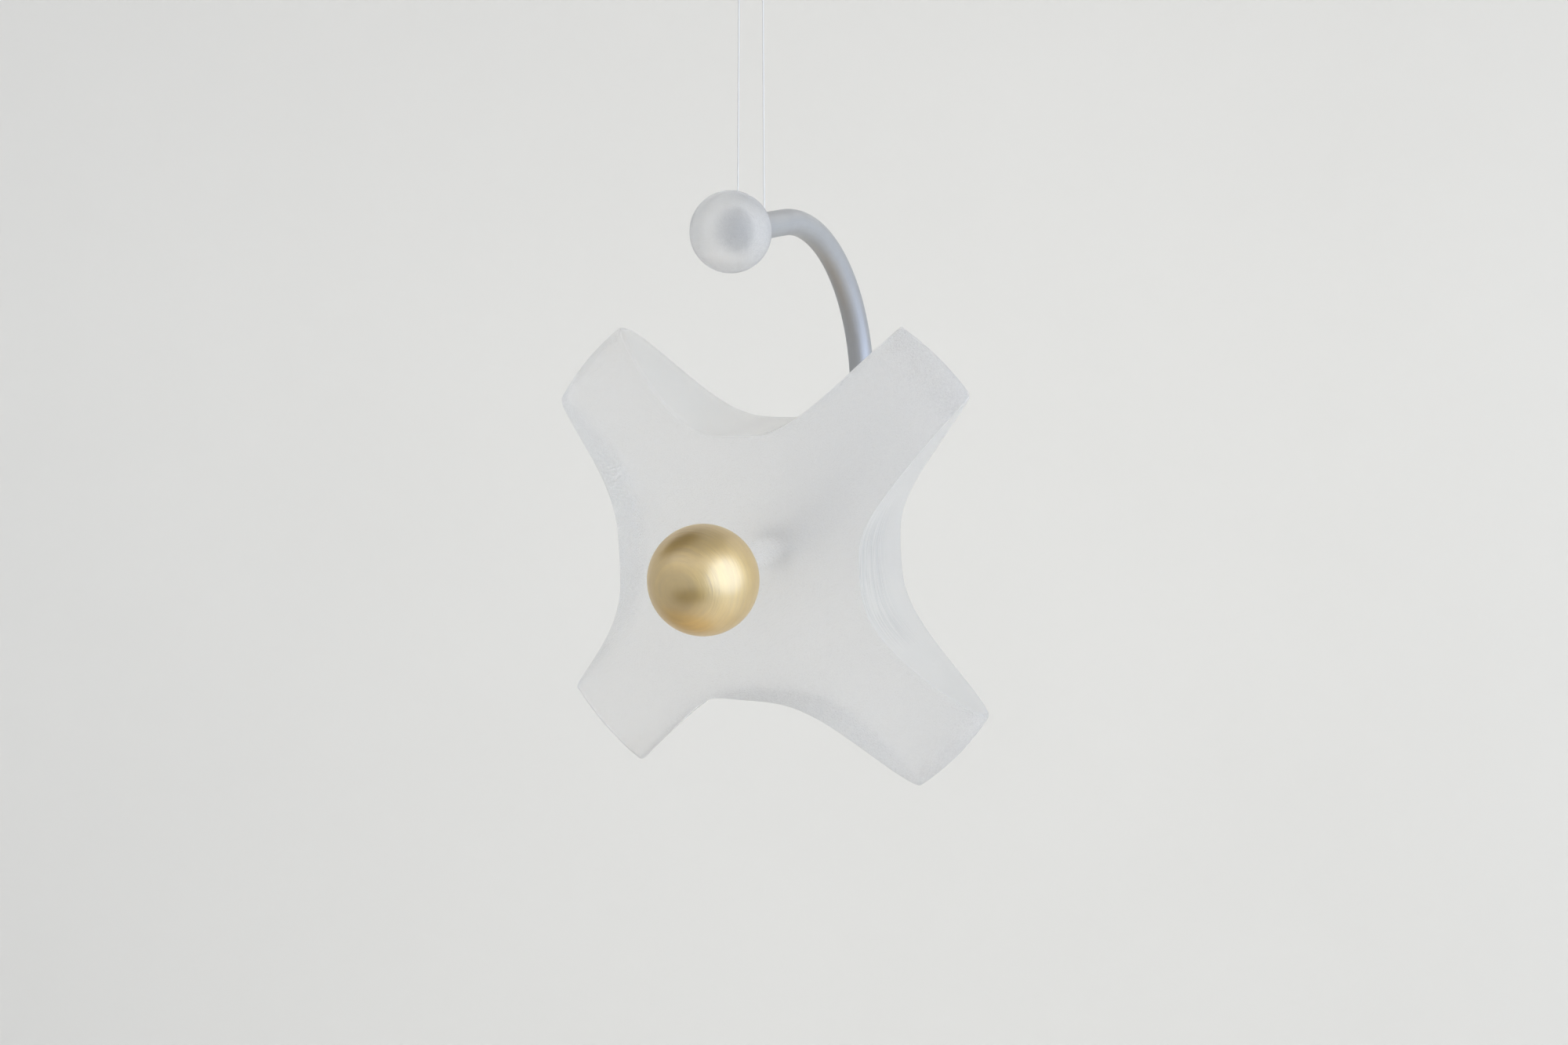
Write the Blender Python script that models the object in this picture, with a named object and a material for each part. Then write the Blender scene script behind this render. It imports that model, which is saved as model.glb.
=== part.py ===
"""Hanging star ornament: a frosted lens-shaped star threaded on a bent rod.

The rod starts in a brass ball in front of the star, passes through the star's middle, bends up
and forward over the top like a hook, and ends in a small frosted ball. A loop of clear thread
is slung under the hook just behind that ball, and both its strands rise to a small ceiling
button. The whole ornament hangs tipped forward, because the brass ball pulls its front down.

World frame: the origin is the middle of the button's top face, +Z is up along the thread, the
hook lies in the YZ plane and the brass ball faces -Y. Units are metres.
"""

import math

import bmesh
import bpy
from mathutils import Matrix, Vector

MM = 0.001

# Star: a lens turned about its middle, with four concave cuts between its arms
STAR_RIM_RADIUS = 49.1 * MM
STAR_THICKNESS = 22.1 * MM
STAR_EDGE = 0.8 * MM  # thickness left at the very rim
STAR_FULLNESS = 0.64  # 0.5 would make each face half an ellipsoid, 1 a parabola
STAR_TURN = math.radians(2.05)  # about the rod, clockwise from the front
CUT_DEPTHS = (22.1 * MM, 22.8 * MM, 23.8 * MM, 23.5 * MM)  # middle to throat: right, top, left, bottom
CUT_RADIUS = 20.5 * MM  # of the curve at each throat
CUT_CONIC = -1.15  # -1 would be a parabola

# Rod, in the ornament's own frame: the star's middle is the origin and its axis is Y
ROD_DIAMETER = 4.76 * MM
LOWER_BEND = 27.5 * MM
UPPER_BEND = 30.0 * MM
UPPER_BEND_Y = 18.4 * MM  # how far behind the star's middle the upper bend is centred
HOOK_DROOP = math.radians(1.0)  # slope of the top run, down to the small ball
ROD_IN_BRASS = 6.0 * MM
ROD_IN_FROSTED = 5.2 * MM

# Balls
BRASS_BALL_RADIUS = 9.525 * MM
BRASS_BALL_Y = -24.4 * MM
FROSTED_BALL_RADIUS = 7.15 * MM
FROSTED_BALL_Y = -3.6 * MM

# How it hangs
HANG_TILT = math.radians(10.4)  # the star's face looks this much downwards
HANG_Y = 4.4 * MM  # where the thread passes under the hook's top run
THREAD_DROP = 46.6 * MM  # from the mount down to the rod's middle at the thread
THREAD_DIAMETER = 0.3 * MM
BUTTON_DIAMETER = 12.0 * MM
BUTTON_THICKNESS = 3.0 * MM
BUTTON_EDGE = 0.5 * MM

# The thread's route, in millimetres from the mount: down one side, under the rod, up the other
THREAD_ROUTE = (
    (-2.35, 0.0, -3.3),
    (-2.38, 0.0, -9.0),
    (-2.41, 0.0, -15.0),
    (-2.45, 0.0, -21.0),
    (-2.49, 0.0, -27.0),
    (-2.53, 0.0, -33.0),
    (-2.57, 0.0, -38.0),
    (-2.61, 0.0, -42.0),
    (-2.64, 0.0, -45.0),
    (-2.63, 0.0, -46.8),
    (-2.28, 0.0, -47.95),
    (-1.32, 0.0, -48.92),
    (0.0, 0.0, -49.3),
    (1.32, 0.0, -48.92),
    (2.28, 0.0, -47.95),
    (2.63, 0.0, -46.8),
    (2.64, 0.0, -45.0),
    (2.61, 0.0, -42.0),
    (2.57, 0.0, -38.0),
    (2.53, 0.0, -33.0),
    (2.49, 0.0, -27.0),
    (2.45, 0.0, -21.0),
    (2.41, 0.0, -15.0),
    (2.38, 0.0, -9.0),
    (2.35, 0.0, -3.3),
)

# Fineness of the faceted solids
GAP = 0.3 * MM  # left between pieces that touch
LENS_SEGMENTS = 96
LENS_RINGS = 11
CUT_POINTS = 25
BALL_SEGMENTS = 36
BALL_RINGS = 22
BEND_STEP = math.radians(6.0)

HOOK_HEIGHT = LOWER_BEND + UPPER_BEND


# Materials


def material(name, colour, roughness, metallic=0.0, transmission=0.0):
    made = bpy.data.materials.new(name)
    made.use_nodes = True
    shader = made.node_tree.nodes["Principled BSDF"]
    shader.inputs["Base Color"].default_value = (*colour, 1.0)
    shader.inputs["Roughness"].default_value = roughness
    shader.inputs["Metallic"].default_value = metallic
    shader.inputs["Transmission Weight"].default_value = transmission
    made.diffuse_color = (*colour, 1.0)
    return made


# Shapes


def add(mesh_builder, name, finish, parent=None):
    """A new object whose mesh is what mesh_builder left, shaded smooth but for its sharp edges."""
    bmesh.ops.remove_doubles(mesh_builder, verts=mesh_builder.verts, dist=1e-7)
    bmesh.ops.recalc_face_normals(mesh_builder, faces=mesh_builder.faces)
    mesh = bpy.data.meshes.new(name)
    mesh_builder.to_mesh(mesh)
    mesh_builder.free()
    mesh.shade_smooth()
    mesh.set_sharp_from_angle(angle=math.radians(35))
    if finish:
        mesh.materials.append(finish)
    made = bpy.data.objects.new(name, mesh)
    bpy.context.scene.collection.objects.link(made)
    made.parent = parent
    return made


def cut(target, cutter):
    """Takes cutter away from target, and hides it."""
    cutter.hide_render = True
    cutter.display_type = "WIRE"
    modifier = target.modifiers.new(cutter.name, "BOOLEAN")
    modifier.operation = "DIFFERENCE"
    modifier.solver = "EXACT"
    modifier.object = cutter


def bore(target, name, start, end, parent):
    """A round hole for the rod in target, along Y from start to end in the parent's frame."""
    shape = bmesh.new()
    bmesh.ops.create_cone(
        shape,
        cap_ends=True,
        segments=24,
        radius1=ROD_DIAMETER / 2 + GAP,
        radius2=ROD_DIAMETER / 2 + GAP,
        depth=(end - start).length,
    )
    drill = add(shape, name, None, parent)
    drill.location = (start + end) / 2
    drill.rotation_euler = (end - start).to_track_quat("Z", "Y").to_euler()
    cut(target, drill)


def half_thickness(share):
    """Half the lens's thickness at this share of its rim radius."""
    return STAR_EDGE / 2 + (STAR_THICKNESS - STAR_EDGE) / 2 * (1 - share**2) ** STAR_FULLNESS


def turned_lens():
    """The lens, spun about Y from its profile."""
    shares = [math.sin(math.pi / 2 * ring / LENS_RINGS) for ring in range(LENS_RINGS + 1)]
    front = [Vector((STAR_RIM_RADIUS * s, -half_thickness(s), 0)) for s in shares]
    back = [Vector((point.x, -point.y, 0)) for point in reversed(front)]
    shape = bmesh.new()
    corners = [shape.verts.new(point) for point in front + back]
    profile = [shape.edges.new(pair) for pair in zip(corners, corners[1:])]
    bmesh.ops.spin(
        shape,
        geom=corners + profile,
        axis=(0, 1, 0),
        angle=2 * math.pi,
        steps=LENS_SEGMENTS,
        use_merge=True,
    )
    return shape


def throat_curve(depth, across):
    """How far from the star's middle a cut's face lies, at this distance across the cut."""
    squared = (across / CUT_RADIUS) ** 2
    return depth + CUT_RADIUS * squared / (1 + math.sqrt(1 - (1 + CUT_CONIC) * squared))


def notch_cutter(depth, turn):
    """A block with a rounded nose that makes the cut to this depth, turned about the star's axis."""
    reach = 1.2 * STAR_RIM_RADIUS
    widest = 0.8 * STAR_RIM_RADIUS
    shape = bmesh.new()
    outline = []
    for index in range(CUT_POINTS):
        across = widest * (2 * index / (CUT_POINTS - 1) - 1)
        outline.append(shape.verts.new((throat_curve(depth, across), -STAR_THICKNESS, across)))
    far = max(reach, outline[0].co.x + STAR_EDGE)
    outline += [shape.verts.new((far, -STAR_THICKNESS, side * widest)) for side in (1, -1)]
    face = shape.faces.new(outline)
    moved = bmesh.ops.extrude_face_region(shape, geom=[face])["geom"]
    corners = [item for item in moved if isinstance(item, bmesh.types.BMVert)]
    bmesh.ops.translate(shape, verts=corners, vec=(0, 2 * STAR_THICKNESS, 0))
    bmesh.ops.rotate(shape, verts=shape.verts, matrix=Matrix.Rotation(-turn, 3, "Y"))
    return shape


def star(finish, ornament):
    made = add(turned_lens(), "star", finish, ornament)
    made.rotation_euler.y = STAR_TURN
    for index, depth in enumerate(CUT_DEPTHS):
        cutter = add(notch_cutter(depth, index * math.pi / 2), f"notch_cutter_{index + 1}", None, made)
        cut(made, cutter)
    face = Vector((0, STAR_THICKNESS, 0))
    bore(made, "star_drill", -face, face, made)
    return made


def ball(name, radius, centre, rod_end, finish, ornament):
    """A ball with a blind hole for the rod, which leaves it backwards along Y."""
    shape = bmesh.new()
    bmesh.ops.create_uvsphere(shape, u_segments=BALL_SEGMENTS, v_segments=BALL_RINGS, radius=radius)
    bmesh.ops.rotate(shape, verts=shape.verts, matrix=Matrix.Rotation(math.pi / 2, 3, "X"))
    made = add(shape, name, finish, ornament)
    made.location = centre
    outward = (rod_end - centre).normalized()
    bore(made, f"{name}_drill", rod_end - outward * GAP, centre + outward * radius * 1.5, ornament)
    return made


# Rod


def top_run(y):
    """The point of the rod's top run at this distance behind the star's middle."""
    start = Vector((0, UPPER_BEND_Y, LOWER_BEND)) + UPPER_BEND * Vector(
        (0, -math.sin(HOOK_DROOP), math.cos(HOOK_DROOP))
    )
    return start + Vector((0, -1, -math.tan(HOOK_DROOP))) * (start.y - y)


def bend(centre, radius, start, end):
    """Points along an arc in the YZ plane, from one angle to another."""
    steps = math.ceil((end - start) / BEND_STEP)
    angles = [start + (end - start) * step / steps for step in range(steps + 1)]
    return [centre + radius * Vector((0, math.cos(a), math.sin(a))) for a in angles]


def rod_line():
    """The rod's middle line, from inside the brass ball to inside the frosted one."""
    front_end = Vector((0, BRASS_BALL_Y + BRASS_BALL_RADIUS - ROD_IN_BRASS, 0))
    top_end = top_run(FROSTED_BALL_Y + FROSTED_BALL_RADIUS - ROD_IN_FROSTED)
    lower_centre = Vector((0, UPPER_BEND_Y + UPPER_BEND - LOWER_BEND, LOWER_BEND))
    upper_centre = Vector((0, UPPER_BEND_Y, LOWER_BEND))
    lower = bend(lower_centre, LOWER_BEND, -math.pi / 2, 0)
    upper = bend(upper_centre, UPPER_BEND, 0, math.pi / 2 + HOOK_DROOP)
    return [front_end] + lower + upper[1:] + [top_end]


def tube(name, points, diameter, sides, finish, parent=None):
    """A round bar or cord along these points."""
    line = bpy.data.curves.new(name, "CURVE")
    line.dimensions = "3D"
    line.bevel_depth = diameter / 2
    line.bevel_resolution = sides // 2 - 2
    line.use_fill_caps = True
    spline = line.splines.new("POLY")
    spline.points.add(len(points) - 1)
    for corner, point in zip(spline.points, points):
        corner.co = (*point, 1)
    spline.use_smooth = True
    line.materials.append(finish)
    made = bpy.data.objects.new(name, line)
    bpy.context.scene.collection.objects.link(made)
    made.parent = parent
    return made


# Thread and button


def smooth_line(route, per_span):
    """Points on a smooth curve through the route's points."""
    points = [Vector(point) for point in route]
    padded = [2 * points[0] - points[1], *points, 2 * points[-1] - points[-2]]
    line = []
    for before, start, end, after in zip(padded, padded[1:], padded[2:], padded[3:]):
        for step in range(per_span):
            t = step / per_span
            line.append(
                0.5
                * (
                    2 * start
                    + (end - before) * t
                    + (2 * before - 5 * start + 4 * end - after) * t**2
                    + (3 * start - 3 * end + after - before) * t**3
                )
            )
    return line + [points[-1]]


def button(finish):
    shape = bmesh.new()
    bmesh.ops.create_cone(
        shape,
        cap_ends=True,
        segments=48,
        radius1=BUTTON_DIAMETER / 2,
        radius2=BUTTON_DIAMETER / 2,
        depth=BUTTON_THICKNESS,
    )
    made = add(shape, "ceiling_button", finish)
    made.location.z = -BUTTON_THICKNESS / 2
    rounding = made.modifiers.new("rounded edges", "BEVEL")
    rounding.width = BUTTON_EDGE
    rounding.segments = 3
    rounding.limit_method = "ANGLE"
    rounding.angle_limit = math.radians(60)
    return made


def ornament_frame():
    """The tipped frame that carries the star, the rod and both balls."""
    frame = bpy.data.objects.new("ornament_frame", None)
    bpy.context.scene.collection.objects.link(frame)
    tip = Matrix.Rotation(HANG_TILT, 3, "X")
    frame.rotation_euler.x = HANG_TILT
    frame.location = Vector((0, 0, -THREAD_DROP)) - tip @ top_run(HANG_Y)
    return frame


def build():
    for thing in list(bpy.data.objects):
        bpy.data.objects.remove(thing)

    frosted = material("frosted_acrylic", (0.80, 0.84, 0.85), 0.45, transmission=0.8)
    brass = material("brushed_brass", (0.62, 0.44, 0.20), 0.32, metallic=1.0)
    aluminium = material("satin_aluminium", (0.56, 0.58, 0.60), 0.42, metallic=1.0)
    clear = material("clear_nylon", (0.90, 0.91, 0.92), 0.15, transmission=0.7)
    white = material("white_plastic", (0.82, 0.82, 0.80), 0.5)

    ornament = ornament_frame()
    star(frosted, ornament)
    tube("hook_rod", rod_line(), ROD_DIAMETER, 20, aluminium, ornament)
    brass_centre = Vector((0, BRASS_BALL_Y, 0))
    brass_end = Vector((0, BRASS_BALL_Y + BRASS_BALL_RADIUS - ROD_IN_BRASS, 0))
    ball("brass_ball", BRASS_BALL_RADIUS, brass_centre, brass_end, brass, ornament)
    frosted_centre = top_run(FROSTED_BALL_Y)
    frosted_end = top_run(FROSTED_BALL_Y + FROSTED_BALL_RADIUS - ROD_IN_FROSTED)
    ball("frosted_ball", FROSTED_BALL_RADIUS, frosted_centre, frosted_end, frosted, ornament)

    route = [Vector(point) * MM for point in THREAD_ROUTE]
    tube("hanging_thread", smooth_line(route, 3), THREAD_DIAMETER, 8, clear)
    button(white)


build()
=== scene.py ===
"""Hanging star ornament, dressed: frosted acrylic star and ball, satin aluminium rod,
brushed brass ball, clear thread and its ceiling button, in a pale studio.
"""

import math

import bmesh
import bpy
import numpy as np
from mathutils import Euler, Matrix, Vector, geometry


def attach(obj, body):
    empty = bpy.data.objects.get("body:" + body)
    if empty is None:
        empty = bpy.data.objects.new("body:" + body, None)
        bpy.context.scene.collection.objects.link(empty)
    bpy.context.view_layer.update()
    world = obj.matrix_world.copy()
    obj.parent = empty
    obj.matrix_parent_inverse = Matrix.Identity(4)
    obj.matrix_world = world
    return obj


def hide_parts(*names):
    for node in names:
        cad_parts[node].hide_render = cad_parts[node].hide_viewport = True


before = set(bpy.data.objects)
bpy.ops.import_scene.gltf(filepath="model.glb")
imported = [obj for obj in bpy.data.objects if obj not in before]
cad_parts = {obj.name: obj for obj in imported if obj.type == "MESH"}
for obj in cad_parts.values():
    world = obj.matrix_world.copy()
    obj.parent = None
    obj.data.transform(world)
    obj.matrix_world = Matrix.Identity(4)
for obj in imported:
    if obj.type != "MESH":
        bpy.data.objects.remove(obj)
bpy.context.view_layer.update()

MM = 0.001

# ---------------------------------------------------------------- sizes
# The rod and how it hangs are the solids' own. The star and the balls are a hair smaller than
# their solids, and the star's cuts and edges are shaped more finely than the solid's.

STAR_RIM_RADIUS = 49.0 * MM
STAR_RIM_MIDDLE = (0.25 * MM, -0.5 * MM)  # across and up from the rod's axis: it was cut by hand
STAR_THICKNESS = 22.1 * MM
STAR_EDGE = 0.8 * MM
STAR_FULLNESS = 0.64
RIM_BAND = 0.8 * MM  # at the arms' tips, where the lens's own rim is left and nothing was sawn
RIM_EASE = 0.2 * MM  # the most that the edges are eased there
RIM_EASE_GROWTH = 0.25
EASE_OF_THICKNESS = 0.85  # the most that an ease takes of half the lens's thickness
STAR_TURN = math.radians(2.05)
BORE_CLEARANCE = 0.06 * MM
NET_SPACING = 0.75 * MM  # of the points over its faces

# The four cuts, going round from the right over the top. Each has the throat's depth from the
# rod's axis at the front and at the back. Then come the flank before it and the flank after it,
# each at the front and at the back: how far the throat's flat runs, the flank's slope and how
# sharply the one turns into the other.
STAR_CUTS = (
    (
        (22.2 * MM, 22.1 * MM),
        ((15.0 * MM, 1.4, 3), (15.0 * MM, 1.4, 3)),
        ((7.5 * MM, 0.85, 3), (10.0 * MM, 0.92, 3)),
    ),
    (
        (22.3 * MM, 23.05 * MM),
        ((10.5 * MM, 1.0, 3), (10.5 * MM, 1.0, 3)),
        ((13.5 * MM, 1.3, 3), (13.0 * MM, 1.2, 3)),
    ),
    (
        (24.9 * MM, 24.6 * MM),
        ((16.6 * MM, 1.2, 3), (17.0 * MM, 1.2, 3)),
        ((16.0 * MM, 1.2, 3), (16.0 * MM, 1.2, 3)),
    ),
    (
        (25.0 * MM, 24.8 * MM),
        ((8.7 * MM, 0.86, 8), (19.5 * MM, 1.35, 3)),
        ((14.7 * MM, 1.06, 3), (15.0 * MM, 1.05, 3)),
    ),
)
# How far the front edge between face and cut is eased, by the direction from the middle in degrees
FRONT_EASE = (
    (0, 0.05 * MM),
    (60, 0.05 * MM),
    (75, 0.12 * MM),
    (90, 0.3 * MM),
    (120, 0.6 * MM),
    (150, 0.15 * MM),
    (310, 0.12 * MM),
    (330, 0.05 * MM),
    (360, 0.05 * MM),
)
BACK_EASE = ((0, 0.12 * MM), (360, 0.12 * MM))
# How far each arm's corners are rounded off in plan, by the same directions
CORNER_EASE = (
    (0, 0.6 * MM),
    (34, 0.9 * MM),
    (54, 0.5 * MM),
    (90, 1.0 * MM),
    (122, 1.8 * MM),
    (132, 1.2 * MM),
    (145, 0.6 * MM),
    (215, 0.7 * MM),
    (235, 1.9 * MM),
    (305, 0.5 * MM),
    (325, 0.6 * MM),
    (360, 0.6 * MM),
)

ROD_RADIUS = 2.38 * MM
LOWER_BEND = 27.5 * MM
UPPER_BEND = 30.0 * MM
UPPER_BEND_Y = 18.4 * MM
HOOK_DROOP = math.radians(1.0)
ROD_IN_BRASS = 6.0 * MM
ROD_IN_FROSTED = 5.2 * MM
COLLAR_RADIUS = 3.7 * MM  # the collar is the scene's alone
COLLAR_LENGTH = 2.2 * MM

BRASS_BALL_RADIUS = 9.5 * MM
BALL_POLISH = 0.03  # of the frosted ball, where 1 is as smooth as a bore
BRASS_BALL_Y = -24.4 * MM
FROSTED_BALL_RADIUS = 7.13 * MM
FROSTED_BALL_Y = -3.6 * MM

HANG_TILT = math.radians(10.4)
HANG_Y = 4.4 * MM
THREAD_DROP = 46.6 * MM
THREAD_DIAMETER = 0.3 * MM
BUTTON_RADIUS = 6.0 * MM
BUTTON_THICKNESS = 3.0 * MM
BUTTON_DISH = 0.5 * MM
BUTTON_PAD_DEPTH = 0.3 * MM
THREAD_IN_BUTTON = 0.7 * MM

# The thread's route, in millimetres from the mount, as the solid has it
THREAD_ROUTE = (
    (-2.35, 0.0, -3.3),
    (-2.38, 0.0, -9.0),
    (-2.41, 0.0, -15.0),
    (-2.45, 0.0, -21.0),
    (-2.49, 0.0, -27.0),
    (-2.53, 0.0, -33.0),
    (-2.57, 0.0, -38.0),
    (-2.61, 0.0, -42.0),
    (-2.64, 0.0, -45.0),
    (-2.63, 0.0, -46.8),
    (-2.28, 0.0, -47.95),
    (-1.32, 0.0, -48.92),
    (0.0, 0.0, -49.3),
    (1.32, 0.0, -48.92),
    (2.28, 0.0, -47.95),
    (2.63, 0.0, -46.8),
    (2.64, 0.0, -45.0),
    (2.61, 0.0, -42.0),
    (2.57, 0.0, -38.0),
    (2.53, 0.0, -33.0),
    (2.49, 0.0, -27.0),
    (2.45, 0.0, -21.0),
    (2.41, 0.0, -15.0),
    (2.38, 0.0, -9.0),
    (2.35, 0.0, -3.3),
)


def top_run(y):
    """The point of the rod's top run this far behind the star's middle, in the ornament's frame."""
    off_centre = Vector((0, -math.sin(HOOK_DROOP), math.cos(HOOK_DROOP)))
    start = Vector((0, UPPER_BEND_Y, LOWER_BEND)) + UPPER_BEND * off_centre
    return start + Vector((0, -1, -math.tan(HOOK_DROOP))) * (start.y - y)


TIP = Matrix.Rotation(HANG_TILT, 4, "X")
ORNAMENT = Matrix.Translation(Vector((0, 0, -THREAD_DROP)) - TIP.to_3x3() @ top_run(HANG_Y)) @ TIP
STAR = ORNAMENT @ Matrix.Rotation(STAR_TURN, 4, "Y")

# ---------------------------------------------------------------- mesh helpers


def finished(name, mesh, finish, place):
    """An object at the origin that shows this mesh, moved to its place in the row's frame."""
    mesh.transform(place)
    shape = bmesh.new()
    shape.from_mesh(mesh)
    bmesh.ops.recalc_face_normals(shape, faces=shape.faces)
    shape.to_mesh(mesh)
    shape.free()
    mesh.shade_smooth()
    mesh.set_sharp_from_angle(angle=math.radians(40))
    mesh.materials.clear()
    mesh.materials.append(finish)
    made = bpy.data.objects.new(name, mesh)
    bpy.context.scene.collection.objects.link(made)
    return made


def mesh_object(name, points, faces, finish, place, surface=None):
    """A finished object from its points and faces. surface is what its material reads: for each
    point the depth in millimetres behind a cut's front edge, 1 on a cut and 1 in a bore."""
    mesh = bpy.data.meshes.new(name)
    mesh.from_pydata([tuple(p) for p in points], [], faces)
    if surface is not None:
        noted = mesh.attributes.new("surface", "FLOAT_VECTOR", "POINT")
        noted.data.foreach_set("vector", np.array(surface, dtype=float).ravel())
    mesh.validate()
    return finished(name, mesh, finish, place)


def turned(name, profile, segments, finish, place, bored=None):
    """A body turned about Y from (radius, y) points. A point at radius 0 closes an end, and a
    profile that ends where it starts makes a ring. bored says how far each point of the profile
    lies in a bore, from 0 to 1."""
    points, rings, surface = [], [], []
    ring = profile[0] == profile[-1]
    for (radius, y), share in zip(profile[:-1] if ring else profile, bored or [0] * len(profile)):
        count = 1 if radius < 1e-9 else segments
        rings.append(list(range(len(points), len(points) + count)))
        for k in range(count):
            turn = 2 * math.pi * k / segments
            points.append((radius * math.cos(turn), y, radius * math.sin(turn)))
        surface += [(0, 0, share)] * count
    if ring:
        rings.append(rings[0])
    faces = []
    for low, high in zip(rings, rings[1:]):
        for k in range(segments):
            corner = [low[k % len(low)], low[(k + 1) % len(low)]]
            corner += [high[(k + 1) % len(high)], high[k % len(high)]]
            faces.append(tuple(dict.fromkeys(corner)))
    return mesh_object(name, points, faces, finish, place, surface)


# ---------------------------------------------------------------- node trees


def add(tree, kind, settings=None, **values):
    """A new node with these settings, and its inputs set to these values or linked to these sockets."""
    made = tree.nodes.new(kind)
    for name, value in (settings or {}).items():
        setattr(made, name, value)
    for name, value in values.items():
        give(tree, made, name.replace("_", " "), value)
    return made


def give(tree, node, name, value):
    """Sets one of a node's inputs to a value, or links it to a socket."""
    socket = node.inputs[int(name)] if name.isdigit() else node.inputs[name]
    if isinstance(value, bpy.types.NodeSocket):
        tree.links.new(value, socket)
    else:
        socket.default_value = value


def maths(tree, operation, first, second=0.0, third=0.0):
    made = tree.nodes.new("ShaderNodeMath")
    made.operation = operation
    for name, value in zip("012", (first, second, third)):
        give(tree, made, name, value)
    return made.outputs[0]


def spread(tree, value, low, high, to_low=0.0, to_high=1.0):
    """The value carried from the range low to high onto another range, smoothly and no further."""
    made = add(tree, "ShaderNodeMapRange", {"interpolation_type": "SMOOTHSTEP"}, Value=value)
    limits = {"From Min": low, "From Max": high, "To Min": to_low, "To Max": to_high}
    for name, limit in limits.items():
        give(tree, made, name, limit)
    return made.outputs["Result"]


def blended(tree, share, first, second):
    """A colour between two, by a share from 0 to 1."""
    made = tree.nodes.new("ShaderNodeMix")
    made.data_type = "RGBA"
    for name, value in (("0", share), ("6", first), ("7", second)):
        give(tree, made, name, value)
    return made.outputs[2]


def tree_of(name, takes):
    """A geometry node tree with these inputs after its geometry: the tree, its inputs and its
    output node."""
    tree = bpy.data.node_groups.new(name, "GeometryNodeTree")
    for label, kind in {"Geometry": "Geometry", **takes}.items():
        tree.interface.new_socket(name=label, in_out="INPUT", socket_type="NodeSocket" + kind)
    tree.interface.new_socket(name="Geometry", in_out="OUTPUT", socket_type="NodeSocketGeometry")
    return tree, tree.nodes.new("NodeGroupInput").outputs, tree.nodes.new("NodeGroupOutput")


def noted(tree, shape, name, kind, value):
    """The shape with a value kept on its points under this name."""
    settings = {"data_type": kind, "domain": "POINT"}
    made = add(tree, "GeometryNodeStoreNamedAttribute", settings, Geometry=shape, Name=name)
    give(tree, made, "Value", value)
    return made.outputs[0]


def close_tree(tree, made, shape, finish):
    """The end of every tree: instances made real, the finish set."""
    real = add(tree, "GeometryNodeRealizeInstances", Geometry=shape).outputs[0]
    dressed = add(tree, "GeometryNodeSetMaterial", Geometry=real, Material=finish)
    give(tree, made, "Geometry", dressed.outputs[0])


def grown(tree, points, joined, sizes):
    """The mesh that a tree makes on these points, or on the line through them, with these inputs."""
    seed = bpy.data.meshes.new(tree.name)
    edges = [(k, k + 1) for k in range(len(points) - 1)] if joined else []
    seed.from_pydata([tuple(point) for point in points], edges, [])
    carrier = bpy.data.objects.new(tree.name, seed)
    bpy.context.scene.collection.objects.link(carrier)
    modifier = carrier.modifiers.new(tree.name, "NODES")
    modifier.node_group = tree
    for item in tree.interface.items_tree:
        if item.in_out == "INPUT" and item.name in sizes:
            modifier[item.identifier] = sizes[item.name]
    depsgraph = bpy.context.evaluated_depsgraph_get()
    mesh = bpy.data.meshes.new_from_object(carrier.evaluated_get(depsgraph))
    carrier.modifiers.remove(modifier)
    bpy.data.objects.remove(carrier)
    bpy.data.meshes.remove(seed)
    return mesh


# ---------------------------------------------------------------- star


def half_thickness(flat):
    """Half the lens's thickness over these (x, z) rows."""
    share = np.clip(np.linalg.norm(flat - STAR_RIM_MIDDLE, axis=1) / STAR_RIM_RADIUS, 0, 1)
    return STAR_EDGE / 2 + (STAR_THICKNESS - STAR_EDGE) / 2 * (1 - share**2) ** STAR_FULLNESS


def reach_to_cut(turn, face):
    """How far a line from the star's middle runs in this direction before a cut. Face 0 is the
    front."""
    reach = np.full(turn.shape, 10 * STAR_RIM_RADIUS)
    for side, (depths, *flanks) in enumerate(STAR_CUTS):
        for sense, flank in zip((-1, 1), flanks):
            flat, slope, power = flank[face]
            across = np.linspace(0, 1.2 * STAR_RIM_RADIUS, 1500)
            depth = depths[face] + slope * ((across**power + flat**power) ** (1 / power) - flat)
            off = sense * ((turn - side * math.pi / 2 + math.pi) % (2 * math.pi) - math.pi)
            here = np.interp(off, np.arctan2(across, depth), np.hypot(across, depth))
            reach = np.where((off >= 0) & (off <= math.pi / 4), here, reach)
    return reach


def star_outlines(count):
    """The front's and the back's outline as (x, z) rows: count points of each, in the same
    directions."""
    turn = np.linspace(0, 2 * math.pi, 40001)
    ahead = np.stack([np.cos(turn), np.sin(turn)], 1)
    along = ahead @ STAR_RIM_MIDDLE
    rim = along + np.sqrt(along**2 + STAR_RIM_RADIUS**2 - np.dot(STAR_RIM_MIDDLE, STAR_RIM_MIDDLE))
    radii = []
    for face in (0, 1):
        cut = reach_to_cut(turn, face)
        soft = np.interp(np.degrees(turn), *np.array(CORNER_EASE).T)
        radii.append(np.minimum(cut, rim) - soft * np.log1p(np.exp(-np.abs(cut - rim) / soft)))
    fine = ahead * np.mean(radii, axis=0)[:, None]
    run = np.concatenate([[0], np.cumsum(np.linalg.norm(np.diff(fine, axis=0), axis=1))])
    even = np.interp(np.linspace(0, run[-1], count, endpoint=False), run, turn)
    ahead = np.stack([np.cos(even), np.sin(even)], 1)
    return [ahead * np.interp(even, turn, radius)[:, None] for radius in radii]


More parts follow.
